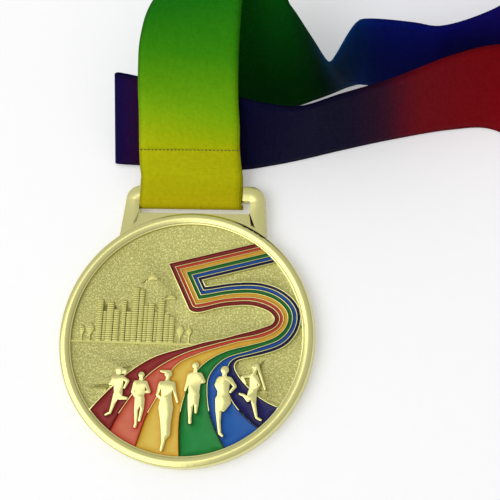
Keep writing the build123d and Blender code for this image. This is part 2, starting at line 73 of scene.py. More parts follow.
back = (CAMERA_AT - LOOK_AT).normalized()
right = CAMERA_UP.cross(back).normalized()
top = back.cross(right)
turn = Matrix((right, top, back)).transposed()
camera = bpy.data.objects.new("camera", bpy.data.cameras.new("camera"))
camera.data.lens = LENS_MM
camera.data.sensor_width = 36
camera.data.clip_start = 0.01
camera.matrix_world = Matrix.Translation(CAMERA_AT) @ turn.to_4x4()
bpy.context.collection.objects.link(camera)
bpy.context.scene.camera = camera
print("camera", round((CAMERA_AT - LOOK_AT).length, 3), "m away")

# %% [markdown]
# ## The strap's path
# A ribbon is flat in one direction and bends in the other, so a point and a width aren't enough:
# each station gives its left and its right edge. The stations are the CAD model's, in millimetres.
# Between them both edges follow a Catmull-Rom curve, which passes through every station, and the
# spacing of its knots follows the distances, so that tight folds don't swing the long runs about.

# %% Strap sizes and the slope that it leans on
STRAP_WIDTH = 28.5
STRAP_THICKNESS = 0.62
LAYER = 0.95
FOLD_LAYER = 1.0
SLOPE_FOOT = (Vector((-24.0, 50.6, 0.6)), Vector((12.3, 48.7, 0.6)))
SLOPE_TOP = (Vector((-20.5, 69.1, 22.0)), Vector((16.0, 60.1, 26.5)))
SLOPE_NORMAL = Vector((-0.08, -0.82, 0.57))
LEG_LEFT, LEG_RIGHT = 0.21, 0.99
BACK_Z, FRONT_Z = 0.4, 4.1
BAR_Y = 38.6
LOOP_LEFT_X = -15.4


def on_slope(along, up, layer):
    foot = SLOPE_FOOT[0].lerp(SLOPE_FOOT[1], along)
    top_edge = SLOPE_TOP[0].lerp(SLOPE_TOP[1], along)
    return foot.lerp(top_edge, up) + SLOPE_NORMAL * (LAYER * layer)


def across(y, z, shift=0.0):
    left = Vector((LOOP_LEFT_X + shift, y, z))
    return (left, left + Vector((STRAP_WIDTH, 0, 0)))


def evened(left, right):
    left, right = Vector(left), Vector(right)
    middle = (left + right) / 2
    half = (right - left).normalized() * (STRAP_WIDTH / 2)
    return (middle - half, middle + half)


def half_turn(station, outward, rise, steps=4):
    radius = abs(rise) / 2
    turned = []
    for step in range(steps + 1):
        angle = math.pi * step / steps
        move = Vector(outward).normalized() * (radius * math.sin(angle))
        move.z += rise / 2 * (1 - math.cos(angle))
        turned.append((station[0] + move, station[1] + move))
    return turned


# %% [markdown]
# The short loop goes down the front of the tab's bar, through the slot and up its back. It ends
# at the seam on both sides, because there the two legs are sewn together.

# %% Stations of the loop round the bar
SEAM_UP = (0.24, 0.37)


def slot_loop():
    radius = (FRONT_Z - BACK_Z) / 2
    stations = [(on_slope(LEG_LEFT, SEAM_UP[0], 2.9), on_slope(LEG_RIGHT, SEAM_UP[1], 2.9)),
                (Vector((-15.8, 47.6, 4.75)), Vector((12.85, 47.0, 5.6))),
                across(45.0, FRONT_Z), across(BAR_Y, FRONT_Z)]
    for step in range(1, 6):
        angle = math.pi * step / 6
        y = BAR_Y - radius * math.sin(angle)
        stations.append(across(y, (FRONT_Z + BACK_Z) / 2 + radius * math.cos(angle)))
    stations += [across(BAR_Y, BACK_Z, -0.6), across(45.0, BACK_Z, -1.0), across(46.6, 0.75, -0.9),
                 (on_slope(LEG_LEFT, 0, 2), on_slope(LEG_RIGHT, 0, 2)),
                 (on_slope(LEG_LEFT, SEAM_UP[0], 2), on_slope(LEG_RIGHT, SEAM_UP[1], 2))]
    return stations


# %% [markdown]
# The long stretch climbs the slope, rolls over a crest, comes down showing its underside, stands
# on its left edge and leaves to the right. Its spare length lies folded past that, and the other
# end comes back standing, turns at the left end of the slope and folds down into the rear leg.

# %% Stations of the long stretch
CREST = [
    ((-13.5, 63.9, 22.8), (14.8, 59.8, 27.5)),
    ((-13.3, 69.0, 25.4), (14.9, 65.3, 30.0)),
    ((-13.0, 76.0, 27.2), (15.0, 73.0, 32.0)),
    ((-11.2, 84.6, 28.0), (16.0, 86.2, 36.2)),
    ((-8.3, 89.3, 27.8), (17.8, 94.5, 37.8)),
    ((-4.4, 90.0, 26.0), (20.2, 96.9, 38.4)),
    ((-0.9, 86.2, 22.5), (21.9, 96.6, 35.5)),
    ((1.8, 80.7, 17.5), (23.2, 94.8, 33.0)),
    ((5.0, 74.8, 11.5), (24.3, 92.5, 30.5)),
    ((9.9, 68.8, 5.5), (25.1, 90.4, 28.0)),
    ((16.8, 65.7, 2.0), (26.0, 88.5, 26.5)),
    ((25.0, 66.8, 0.6), (26.6, 86.9, 26.0)),
    ((30.9, 68.9, 0.6), (27.4, 85.8, 26.0)),
    ((32.0, 69.3, 0.6), (28.5, 84.2, 26.3)),
    ((36.2, 71.1, 0.6), (33.9, 75.8, 28.0)),
    ((39.6, 72.7, 0.6), (38.3, 69.4, 28.8)),
]
STANDING_AWAY = [
    ((40.5, 73.0, 0.6), (39.1, 69.4, 28.8)),
    ((42.2, 73.5, 0.6), (43.7, 77.9, 28.7)),
    ((42.9, 73.7, 0.6), (45.2, 80.5, 28.1)),
    ((43.8, 73.7, 0.6), (46.2, 81.5, 27.9)),
    ((47.0, 73.3, 0.6), (48.7, 81.8, 27.8)),
    ((52.3, 72.5, 0.6), (54.2, 81.5, 27.6)),
    ((58.9, 71.9, 0.6), (60.5, 80.7, 27.6)),
    ((65.7, 71.8, 0.6), (67.1, 79.6, 27.9)),
    ((79.0, 74.0, 0.6), (80.5, 84.5, 27.0)),
    ((87.0, 76.3, 0.6), (89.0, 91.5, 24.5)),
    ((93.5, 77.8, 0.6), (95.5, 101.0, 17.0)),
    ((99.0, 78.4, 0.6), (100.5, 106.0, 7.0)),
]
STANDING_BACK = [
    ((100.0, 75.2, 6.5), (99.5, 47.6, 0.6)),
    ((94.0, 76.4, 15.0), (93.0, 52.0, 0.6)),
    ((88.0, 77.0, 21.0), (87.0, 57.6, 0.6)),
    ((80.0, 75.2, 25.2), (79.0, 61.2, 0.6)),
    ((69.8, 71.7, 26.8), (68.7, 60.7, 0.6)),
    ((55.0, 65.0, 28.1), (53.0, 57.8, 0.6)),
    ((41.9, 60.7, 28.3), (39.0, 54.5, 0.6)),
    ((31.5, 57.3, 28.3), (28.1, 51.7, 0.6)),
    ((23.5, 58.1, 27.6), (19.8, 49.9, 0.6)),
]
RUN_START_X, RUN_LENGTH, LAYERS = 106.0, 46.0, 5
AWAY_LOW_Y, BACK_LOW_Y = 78.5, 46.0
GROUND = 0.45


def flat_run(x, low_y, z):
    return (Vector((x, low_y, z)), Vector((x, low_y + STRAP_WIDTH, z)))


def put_away():
    end_x = RUN_START_X + RUN_LENGTH
    square_x = end_x - STRAP_WIDTH - 2
    heights = [GROUND + FOLD_LAYER * layer for layer in range(LAYERS + 1)]
    stack = [flat_run(RUN_START_X, AWAY_LOW_Y, heights[0])]
    for layer in range(LAYERS - 1):
        outbound = layer % 2 == 0
        x = end_x if outbound else RUN_START_X + 2
        fold_way = (1 if outbound else -1, 0, 0)
        stack += half_turn(flat_run(x, AWAY_LOW_Y, heights[layer]), fold_way, FOLD_LAYER)
    stack.append(flat_run(square_x - 3, AWAY_LOW_Y, heights[-2]))
    near = Vector((square_x + STRAP_WIDTH, AWAY_LOW_Y, heights[-2]))
    far = Vector((square_x, AWAY_LOW_Y + STRAP_WIDTH, heights[-2]))
    stack += half_turn((near, far), (1, 1, 0), FOLD_LAYER)
    mirror_y = AWAY_LOW_Y + BACK_LOW_Y + STRAP_WIDTH

    def mirrored(point):
        return Vector((point.x, mirror_y - point.y, point.z))

    return stack + [(mirrored(left), mirrored(right)) for left, right in reversed(stack)]


def folded_over(station, outward, angles):
    """The station carried round a fold one layer high, out of the slope."""
    radius = LAYER / 2
    turned = []
    for angle in map(math.radians, angles):
        move = SLOPE_NORMAL * (radius * (1 - math.cos(angle))) + outward * (radius * math.sin(angle))
        turned.append((station[0] + move, station[1] + move))
    return turned


def rear_leg():
    end = 0.02
    stations = [(on_slope(along, 1, 0), on_slope(along, 0, 0)) for along in (1.0, 0.7, 0.35, end)]
    stations += folded_over(stations[-1], Vector((-1, 0, 0)), (45, 90, 135))
    stations += [(on_slope(along, 1, 1), on_slope(along, 0, 1)) for along in (end, LEG_LEFT - 0.03)]
    crease = (on_slope(LEG_LEFT, 1, 1), on_slope(LEG_RIGHT, 0, 1))
    diagonal = (SLOPE_TOP[1] - SLOPE_FOOT[0]).normalized()
    stations += folded_over(crease, diagonal, (0, 60, 120, 180))
    stations.append((on_slope(LEG_LEFT, SEAM_UP[0], 2), on_slope(LEG_RIGHT, SEAM_UP[1], 2)))
    return stations


# %% [markdown]
# ## Strap mesh
# The edges are sampled about every millimetre and joined by a sheet of quads. Its UV map holds the
# place across the strap and the distance along it in metres: the print and the weave follow those.

# %% Smooth edges between the stations
def catmull(p0, p1, p2, p3, t):
    """Point on a curve from p1 (t = 0) to p2 (t = 1) whose knots are spaced by distance."""
    d1 = max((p1 - p0).length, 0.05) ** 0.5
    d2 = max((p2 - p1).length, 0.05) ** 0.5
    d3 = max((p3 - p2).length, 0.05) ** 0.5
    slope1 = ((p1 - p0) / d1 - (p2 - p0) / (d1 + d2) + (p2 - p1) / d2) * d2
    slope2 = ((p2 - p1) / d2 - (p3 - p1) / (d2 + d3) + (p3 - p2) / d3) * d2
    start = 2 * t ** 3 - 3 * t ** 2 + 1
    leave = t ** 3 - 2 * t ** 2 + t
    arrive = t ** 3 - t ** 2
    return p1 * start + slope1 * leave + p2 * (1 - start) + slope2 * arrive


# %% Sample both edges
STEP_MM = 1.2
ACROSS = 12


def sampled(stations, straight=()):
    """Edge pairs about STEP_MM apart; segments in straight keep straight edges."""
    pairs = []
    last = len(stations) - 1
    for i in range(last):
        around = [stations[max(i - 1, 0)], stations[i], stations[i + 1], stations[min(i + 2, last)]]
        middles = [(left + right) / 2 for left, right in around]
        count = max(1, round((middles[2] - middles[1]).length / STEP_MM))
        for step in range(count):
            t = step / count
            if i in straight:
                pair = [around[1][side].lerp(around[2][side], t) for side in (0, 1)]
            else:
                pair = [catmull(*[station[side] for station in around], t) for side in (0, 1)]
            pairs.append(tuple(pair))
    pairs.append(stations[-1])
    return pairs


loop_pairs = sampled(slot_loop())
first_part = [(on_slope(LEG_LEFT, SEAM_UP[0], 2.9), on_slope(LEG_RIGHT, SEAM_UP[1], 2.9))]
first_part += [(on_slope(LEG_LEFT, up, 2.9), on_slope(LEG_RIGHT, up, 2.9)) for up in (0.45, 0.7)]
first_part += [(Vector(left), Vector(right)) for left, right in CREST]
first_part += [evened(*station) for station in STANDING_AWAY]
folded = put_away()
last_part = [evened(*station) for station in STANDING_BACK] + rear_leg()
flat_rows = range(len(first_part), len(first_part) + len(folded) - 1)
strap_pairs = sampled(first_part + folded + last_part, straight=flat_rows)


def run_length(pairs):
    middles = [(left + right) / 2 for left, right in pairs]
    return sum((b - a).length for a, b in zip(middles, middles[1:])) * MM


LOOP_LENGTH, STRAP_LENGTH = run_length(loop_pairs), run_length(strap_pairs)
print("loop", round(LOOP_LENGTH, 4), "m, long stretch", round(STRAP_LENGTH, 4), "m")
print("rows", len(strap_pairs))

# %% Sheet of quads with its UV map, thickened
def strap_mesh(name, pairs, start_m):
    mesh = bpy.data.meshes.new(name)
    verts = []
    faces = []
    travelled = [start_m]
    for (l0, r0), (l1, r1) in zip(pairs, pairs[1:]):
        travelled.append(travelled[-1] + ((l1 + r1) / 2 - (l0 + r0) / 2).length * MM)
    for left, right in pairs:
        verts += [left.lerp(right, i / ACROSS) * MM for i in range(ACROSS + 1)]
    width = ACROSS + 1
    for row in range(len(pairs) - 1):
        for i in range(ACROSS):
            at = row * width + i
            faces.append((at, at + 1, at + width + 1, at + width))
    mesh.from_pydata(verts, [], faces)
    uv = mesh.uv_layers.new(name="strap")
    for loop in mesh.loops:
        row, i = divmod(loop.vertex_index, width)
        uv.data[loop.index].uv = (i / ACROSS, travelled[row])
    piece = bpy.data.objects.new(name, mesh)
    bpy.context.collection.objects.link(piece)
    thick = piece.modifiers.new("thickness", "SOLIDIFY")
    thick.thickness = STRAP_THICKNESS * MM
    thick.offset = 0
    return piece


def made_plain(piece):
    """Applies the modifiers, so that what follows works on the finished mesh."""
    graph = bpy.context.evaluated_depsgraph_get()
    mesh = bpy.data.meshes.new_from_object(piece.evaluated_get(graph))
    piece.modifiers.clear()
    piece.data = mesh
    for polygon in mesh.polygons:
        polygon.use_smooth = True
    return piece


ribbon = made_plain(strap_mesh("woven_strap", strap_pairs, 0.0))
slot_ribbon = made_plain(strap_mesh("woven_strap_loop", loop_pairs[::-1], STRAP_LENGTH))
print("strap faces", len(ribbon.data.polygons), "loop faces", len(slot_ribbon.data.polygons))

# %% [markdown]
# ## Shader arithmetic
# A procedural finish is a small sum: masks, waves and noises that are added and multiplied. This
# class wraps a shader socket so that such a sum reads as ordinary Python, and each operator adds
# one Math node. Colours don't go through it, because a Math node would turn them grey.

# %% Numbers in a shader
class Number:
    def __init__(self, finish, socket):
        self.finish, self.socket = finish, socket

    def _math(self, operation, first, second=0.0):
        return self.finish.number("ShaderNodeMath", {"operation": operation}, {0: first, 1: second})

    def __add__(self, other):
        return self._math("ADD", self, other)

    def __sub__(self, other):
        return self._math("SUBTRACT", self, other)

    def __rsub__(self, other):
        return self._math("SUBTRACT", other, self)

    def __mul__(self, other):
        return self._math("MULTIPLY", self, other)

    def __truediv__(self, other):
        return self._math("DIVIDE", self, other)

    def __pow__(self, other):
        return self._math("POWER", self, other)

    def __lt__(self, other):
        return self._math("LESS_THAN", self, other)

    def sine(self):
        return self._math("SINE", self)

    def size(self):
        return self._math("ABSOLUTE", self)

    __radd__, __rmul__ = __add__, __mul__


# %% A finish: one Principled material and a method that adds any node
class Finish:
    def __init__(self, name, **sockets):
        self.material = bpy.data.materials.new(name)
        self.material.use_nodes = True
        self.tree = self.material.node_tree
        self.shader = self.tree.nodes["Principled BSDF"]
        for socket, value in sockets.items():
            self.shader.inputs[socket.replace("_", " ")].default_value = value

    def node(self, kind, settings=None, sockets=None):
        node = self.tree.nodes.new(kind)
        for key, value in (settings or {}).items():
            if key == "stops":
                self._stops(node.color_ramp, value)
            else:
                setattr(node, key, value)
        for key, value in (sockets or {}).items():
            if isinstance(value, Number):
                value = value.socket
            if isinstance(value, bpy.types.NodeSocket):
                self.tree.links.new(value, node.inputs[key])
            else:
                node.inputs[key].default_value = value
        return node

    def _stops(self, ramp, stops):
        while len(ramp.elements) < len(stops):
            ramp.elements.new(0.5)
        for element, (place, colour) in zip(ramp.elements, stops):
            element.position = place
            element.color = colour

    def number(self, kind, settings=None, sockets=None, output=0):
        return Number(self, self.node(kind, settings, sockets).outputs[output])

    def mixed(self, factor, first, second):
        """Colour between two colours."""
        node = self.node("ShaderNodeMix", {"data_type": "RGBA"}, {0: factor, 6: first, 7: second})
        return node.outputs[2]

    def place(self):
        """Object coordinates as a vector socket and as three numbers."""
        spot = self.node("ShaderNodeTexCoord").outputs["Object"]
        split = self.node("ShaderNodeSeparateXYZ", None, {0: spot})
        return spot, [Number(self, split.outputs[i]) for i in range(3)]

    def noise(self, spot, scale, detail=2.0, roughness=0.5):
        sockets = {"Vector": spot, "Scale": scale, "Detail": detail, "Roughness": roughness}
        return self.number("ShaderNodeTexNoise", None, sockets, "Fac")

    def step(self, value, low, high):
        """0 below low, 1 above high, smooth between."""
        sockets = {"Value": value, "From Min": low, "From Max": high}
        return self.number("ShaderNodeMapRange", {"interpolation_type": "SMOOTHSTEP"}, sockets)

    def feed(self, **links):
        for socket, value in links.items():
            source = value.socket if isinstance(value, Number) else value
            self.tree.links.new(source, self.shader.inputs[socket.replace("_", " ")])
        return self

    def bump(self, height, distance, strength=1.0):
        sockets = {"Height": height, "Distance": distance, "Strength": strength}
        return self.feed(Normal=self.node("ShaderNodeBump", None, sockets).outputs[0])


def srgb(red, green, blue):
    """Linear colour of a screen colour given 0 to 255."""
    return tuple((c / 255) ** 2.2 for c in (red, green, blue)) + (1.0,)


# %% [markdown]
# ## Gold finish
# The casting is plated a pale, slightly green gold. Its ground is sandblasted and everything that
# stands up from it is polished. One material does both: a mask reads the height above the back
# and the distance from the disc's centre, so the border between the two follows the relief.
# The towers' window bands get painted shade: dark stripes at the pitch of their grooves.

# %% Gold: sandblasted ground, satin towers, polished relief
FRONT_LOW, FRONT_HIGH = 2.3 * MM, 2.45 * MM
GROUND_TOP = 2.66 * MM
SATIN_TOP = 3.34 * MM
SOFT_BORDER = 0.05 * MM
FIELD_RADIUS = 31.72 * MM
STEP_RADIUS = 32.15 * MM
GRAIN = 2000.0
FINE_GRAIN = 4200.0
SKYLINE_FOOT, SKYLINE_TOP, SKYLINE_RIGHT = -1.15 * MM, 14.2 * MM, -3.2 * MM
WINDOW_PITCH = 0.6 * MM
WINDOW_PHASE = 1.1 * math.pi


def gold_finish():
    gold = Finish("plated_gold", Metallic=1.0)
    spot, (x, y, z) = gold.place()
    radius = (x * x + y * y) ** 0.5
    front = gold.step(z, FRONT_LOW, FRONT_HIGH)
    above_ground = gold.step(z, GROUND_TOP, GROUND_TOP + SOFT_BORDER)
    above_satin = gold.step(z, SATIN_TOP, SATIN_TOP + SOFT_BORDER)
    ground = (1 - above_ground) * front * (radius < FIELD_RADIUS)
    satin = (1 - above_satin) * front * (radius < STEP_RADIUS)
    coarse = gold.noise(spot, GRAIN, 2.0, 0.65)
    fine = gold.noise(spot, FINE_GRAIN, 1.0)
    pits = gold.step(coarse * 0.6 + fine * 0.4, 0.42, 0.6)
    ripple = gold.noise(spot, 170.0, 1.0)
    worn = gold.noise(spot, 45.0, 2.0)
    # Painted shade in the window grooves: a stripe wave over the height darkens the towers' plating.
    floors = ((y - SKYLINE_FOOT) * (2 * math.pi / WINDOW_PITCH) - WINDOW_PHASE).sine()
    skyline = (x < SKYLINE_RIGHT) * (y < SKYLINE_TOP) * (1 - (y < SKYLINE_FOOT)) * satin
    window_shade = gold.step(floors, 0.35, 0.75) * skyline * (1 - ground)
    polished = gold.mixed(worn, srgb(222, 216, 142), srgb(230, 225, 154))
    blasted = gold.mixed(pits, srgb(184, 180, 104), srgb(230, 227, 154))
    brushed = gold.mixed(satin, polished, srgb(212, 207, 128))
    plated = gold.mixed(ground, brushed, blasted)
    gold.feed(Base_Color=gold.mixed(window_shade * 0.55, plated, srgb(96, 92, 40)))
    gold.feed(Roughness=satin * 0.2 + ground * 0.06 + worn * 0.1 + 0.16)
    return gold.bump(pits * ground * 0.6 + ripple * 0.03, 0.12 * MM, 0.9).material


gold = gold_finish()

# %% [markdown]
# ## The casting
# A die-cast edge is never sharp: the plating and the polishing round it, and the thin bright line
# on each edge is what makes metal look like metal. The CAD mesh is loose triangles, so a copy is
# merged and every sharp edge gets a small round. Level faces stay flat-shaded, because smooth
# shading would spread the round's tilt far over the large triangles of the ground.

# %% Rounded copy of the casting
EDGE_ROUND = 0.05 * MM
ROUNDED_ABOVE, SHARP_ABOVE = math.radians(28), math.radians(40)
SAME_POINT = 0.002 * MM
LEVEL = 0.99
RIM_FACE = 3.68 * MM


def rounded_copy(node, name):
    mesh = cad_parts[node].data.copy()
    made = bmesh.new()
    made.from_mesh(mesh)
    bmesh.ops.remove_doubles(made, verts=made.verts, dist=SAME_POINT)
    made.to_mesh(mesh)
    made.free()
    mesh.name = name
    piece = bpy.data.objects.new(name, mesh)
    bpy.context.collection.objects.link(piece)
    edge = piece.modifiers.new("edge", "BEVEL")
    edge.width = EDGE_ROUND
    edge.segments = 2
    edge.angle_limit = ROUNDED_ABOVE
    edge.use_clamp_overlap = False
    piece = made_plain(piece)
    for polygon in piece.data.polygons:
        on_rim = polygon.center.z > RIM_FACE and polygon.center.xy.length > STEP_RADIUS
        polygon.use_smooth = abs(polygon.normal.z) < LEVEL or on_rim
    piece.data.set_sharp_from_angle(angle=SHARP_ABOVE)
    return piece


casting = rounded_copy("medal_body", "medal_casting")
casting.data.materials.clear()
casting.data.materials.append(gold)
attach(casting, "medal")
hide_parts("medal_body")
print("casting faces", len(casting.data.polygons))

# %% [markdown]
# ## Soft enamel
# Soft enamel is poured into the pockets below the metal lines and baked. It clings to their walls
# and sinks in between, so each pool is a small dish. The CAD gives flat-topped pools; here each
# top is rebuilt from its own outline: two rings of points close to the walls catch the curved
# edge, and a grid carries the wide middle. The sunk depth is kept as an attribute for the colour.

# %% The outline of a pool
RING_STEPS = (0.1, 0.26)
GRID_STEP = 0.42
ROW_STEP = GRID_STEP * 0.87
OUTLINE_STEP = 0.3
CLIMB, CLIMB_REACH = 0.28, 0.16
SINK, SINK_REACH = 0.3, 0.8
DEPTH_REACH = 0.7
ABOVE, DOWN = Vector((0, 0, 9)), Vector((0, 0, -1))


def pool_outline(node):
    """The flat top's outline edges in millimetres, inside on their left, and a tree of the top."""
    made = bmesh.new()
    made.from_mesh(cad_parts[node].data)
    bmesh.ops.remove_doubles(made, verts=made.verts, dist=SAME_POINT)
    made.normal_update()
    top_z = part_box(node)[1][2]
    tops = {f for f in made.faces if f.normal.z > 0.9 and f.calc_center_median().z > top_z - 1e-5}
    edges = []
    for face in tops:
        for corner in face.loops:
            if len(tops.intersection(corner.edge.link_faces)) == 1:
                edges.append((corner.vert.co.xy / MM, corner.link_loop_next.vert.co.xy / MM))
    corners = [v.co / MM for v in made.verts]
    made.verts.index_update()
    tree = BVHTree.FromPolygons(corners, [[v.index for v in f.verts] for f in tops])
    made.free()
    return edges, tree


# %% A pool's points, triangles and closed body
def on_top(tree, point):
    return tree.ray_cast(point.to_3d() + ABOVE, DOWN)[0] is not None


def pool_points(edges, tree):
    """Outline points, the edges between them, the points inside, and a tree of the outline."""
    outline, links, inner = [], [], []
    index = {}

    def add(point):
        key = (round(point.x, 4), round(point.y, 4))
        if key not in index:
            index[key] = len(outline)
            outline.append(point)
        return index[key]

    for start, end in edges:
        count = max(1, round((end - start).length / OUTLINE_STEP))
        marks = [add(start.lerp(end, i / count)) for i in range(count + 1)]
        links += list(zip(marks, marks[1:]))
    wall = kdtree.KDTree(len(outline))
    for i, point in enumerate(outline):
        wall.insert(point.to_3d(), i)
    wall.balance()
    for ring in RING_STEPS:
        for first, second in links:
            a, b = outline[first], outline[second]
            way = (b - a).normalized()
            point = (a + b) / 2 + Vector((-way.y, way.x)) * ring
            if wall.find(point.to_3d())[2] > ring * 0.95:
                inner.append(point)
    xs, ys = [p.x for p in outline], [p.y for p in outline]
    rows = int((max(ys) - min(ys)) / ROW_STEP) + 1
    for row in range(rows):
        y = min(ys) + row * ROW_STEP
        x = min(xs) + (row % 2) * GRID_STEP / 2
        while x < max(xs):
            if wall.find((x, y, 0))[2] > RING_STEPS[-1] + GRID_STEP * 0.45:
                inner.append(Vector((x, y)))
            x += GRID_STEP
    inside = [point for point in inner if on_top(tree, point)]
    return outline, links, inside, wall


def triangles(points, links, tree):
    """Triangles between the points that keep the links as edges and lie on the top."""
    spots, _, faces, *_ = delaunay_2d_cdt(points, links, [], 0, 1e-5)
    kept = []
    for face in faces:
        middle = sum((spots[i] for i in face[1:]), spots[face[0]].copy()) / len(face)
        if on_top(tree, middle):
            kept.append(face)
    return spots, kept


def pool_body(lane):
    node = "enamel_" + lane
    edges, tree = pool_outline(node)
    outline, links, inside, wall = pool_points(edges, tree)
    spots, faces = triangles(outline + inside, links, tree)
    low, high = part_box(node)
    verts, depths = [], []
    for spot in spots:
        away = wall.find(spot.to_3d())[2]
        rise = CLIMB * math.exp(-away / CLIMB_REACH) - SINK * (1 - math.exp(-away / SINK_REACH))
        verts.append((spot.x * MM, spot.y * MM, high[2] + rise * MM))
        depths.append(1 - math.exp(-away / DEPTH_REACH))
    count = len(verts)
    sides = {}
    for face in faces:
        for a, b in zip(face, face[1:] + face[:1]):
            sides[(a, b)] = sides.get((a, b), 0) + 1
    rim = [pair for pair in sides if (pair[1], pair[0]) not in sides]
    verts += [(x, y, low[2]) for x, y, _ in verts[:count]]
    body = [tuple(face) for face in faces]
    body += [tuple(count + i for i in face[::-1]) for face in faces]
    body += [(b, a, count + a, count + b) for a, b in rim]
    mesh = bpy.data.meshes.new("pour_" + lane)
    mesh.from_pydata(verts, [], body)
    pool = mesh.attributes.new("pool", "FLOAT", "POINT")
    pool.data.foreach_set("value", depths + depths)
    for polygon in mesh.polygons:
        polygon.use_smooth = abs(polygon.normal.z) > 0.5
    piece = bpy.data.objects.new("pour_" + lane, mesh)
    bpy.context.collection.objects.link(piece)
    print("pool", lane, len(outline), "outline points,", len(body), "faces")
    return piece


# %% [markdown]
# Enamel is pigment in a clear, hard resin: the colour sits a little below a glossy skin, darkest
# where the pool is thick against its wall. The lighter middle colour is partly painted reflection
# of the lamp on the dish. A coat layer on the Principled shader gives the skin, and the dished
# surface bends the reflection of the lamp as well.

# %% Enamel colours and finish
# Each lane: its colour at the wall, then its lighter middle colour, which is partly painted
# reflection of the lamp.
ENAMELS = {
    "maroon": (srgb(112, 6, 8), srgb(156, 44, 40)),
    "red": (srgb(190, 40, 12), srgb(222, 118, 88)),
    "yellow": (srgb(214, 150, 12), srgb(236, 204, 84)),
    "green": (srgb(0, 92, 24), srgb(14, 142, 58)),
    "blue": (srgb(8, 66, 140), srgb(24, 96, 178)),
    "navy": (srgb(8, 6, 60), srgb(22, 18, 98)),
}


def enamel_finish(lane, edge, middle):
    enamel = Finish("enamel_" + lane, Coat_Weight=0.35, Coat_Roughness=0.1, Coat_IOR=1.35,
                    Specular_IOR_Level=0.2)
    spot, _ = enamel.place()
    pool = enamel.number("ShaderNodeAttribute", {"attribute_name": "pool"}, None, "Fac")
    cloud = enamel.noise(spot, 380.0, 3.0)
    speck = enamel.noise(spot, 2600.0, 1.0)
    # Partly painted reflection: the colour lightens from the wall to the middle of the pool.
    tone = enamel.mixed(pool * 0.9 + (cloud - 0.5) * 0.5, edge, middle)
    enamel.feed(Base_Color=tone, Roughness=0.3 + cloud * 0.14)
    return enamel.bump(cloud + speck * 0.08, 0.03 * MM, 0.4).material


for lane, (edge, middle) in ENAMELS.items():
    pour = pool_body(lane)
    pour.data.materials.append(enamel_finish(lane, edge, middle))
    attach(pour, "medal")
    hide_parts("enamel_" + lane)
    "enamel_" + lane

# %% [markdown]
# ## Printed strap
# The strap is woven polyester with a rainbow printed into it lengthwise. The print is a colour
# ramp over the distance along the strap. The weave is the product of two waves, one across and
# one along, which gives the small pillows of crossing yarns, and the woven edge is a denser cord.
# The hollows between the pillows are darkened with painted shade.

# %% Print along the strap, in millimetres from the seam
PRINT = [
    (0, srgb(194, 202, 14)), (7, srgb(162, 194, 12)), (14, srgb(130, 184, 14)),
    (20, srgb(104, 166, 12)), (30, srgb(62, 144, 12)), (42, srgb(34, 122, 16)),
    (60, srgb(16, 102, 20)), (88, srgb(6, 80, 20)), (97, srgb(2, 46, 26)),
    (104, srgb(2, 58, 96)), (110, srgb(4, 58, 126)), (116, srgb(4, 26, 108)),
    (136, srgb(8, 12, 102)), (190, srgb(44, 20, 120)), (260, srgb(110, 16, 90)),
    (330, srgb(176, 16, 40)), (400, srgb(200, 80, 20)), (460, srgb(190, 170, 24)),
    (530, srgb(40, 130, 30)), (600, srgb(150, 60, 30)), (638, srgb(150, 2, 24)),
    (668, srgb(128, 2, 18)), (690, srgb(116, 4, 24)), (700, srgb(48, 4, 38)),
    (710, srgb(8, 4, 42)), (737, srgb(4, 5, 48)), (776, srgb(10, 8, 74)),
    (787, srgb(60, 10, 40)), (795, srgb(130, 26, 12)), (805, srgb(190, 78, 10)),
    (814, srgb(198, 160, 12)), (837, srgb(196, 198, 16)),
]
YARNS_ACROSS = 60
RIB_PITCH = 0.46 * MM
BLEED = 0.003


def strap_finish():
    print_length = STRAP_LENGTH + LOOP_LENGTH
    woven = Finish("printed_weave", Specular_IOR_Level=0.08)
    map_spot = woven.node("ShaderNodeUVMap", {"uv_map": "strap"}).outputs[0]
    split = woven.node("ShaderNodeSeparateXYZ", None, {0: map_spot})
    across_strap, along_strap = Number(woven, split.outputs[0]), Number(woven, split.outputs[1])
    spot, _ = woven.place()
    stops = [(min(place * MM / print_length, 1.0), colour) for place, colour in PRINT]
    share = along_strap / print_length + (woven.noise(spot, 300.0) - 0.5) * BLEED
    colour = woven.node("ShaderNodeValToRGB", {"stops": stops}, {0: share}).outputs[0]
    ribs = (along_strap * (math.pi / RIB_PITCH)).sine()
    yarns = (across_strap * (math.pi * YARNS_ACROSS)).sine()
    pillow = (ribs * yarns).size()
    slub = woven.noise(spot, 900.0, 2.0)
    edge = woven.step((across_strap - 0.5).size(), 0.465, 0.485)
    # Painted shade between the yarn pillows, plus random slub tone and a darker edge cord.
    shade = (1 - pillow) * 0.14 + (slub - 0.5) * 0.3 + edge * 0.2
    tone = woven.mixed(shade, colour, srgb(0, 0, 0))
    woven.feed(Base_Color=tone, Roughness=0.7 + slub * 0.2)
    return woven.bump(pillow + slub * 0.5 + edge * 0.6, 0.07 * MM, 0.7).material


woven = strap_finish()
for piece in (ribbon, slot_ribbon):
    piece.data.materials.clear()
    piece.data.materials.append(woven)

# %% [markdown]
# ## Stitches
# The two legs are sewn together by one straight lock stitch, which shows on both of its sides as a
# row of short dashes. Geometry Nodes put one small stretched ball on each point of a line and vary
# its size a little at random, as real stitches differ, then make it all one mesh.

# %% Stitch row as a node tree
STITCHES = 26
STITCH_LENGTH = 0.62 * MM
THREAD = 0.3 * MM
SMALLEST, LARGEST = 0.88, 1.12


def tree_input(tree, name, kind, value):
    socket = tree.interface.new_socket(name, in_out="INPUT", socket_type="NodeSocket" + kind)
    socket.default_value = value
    return socket.identifier


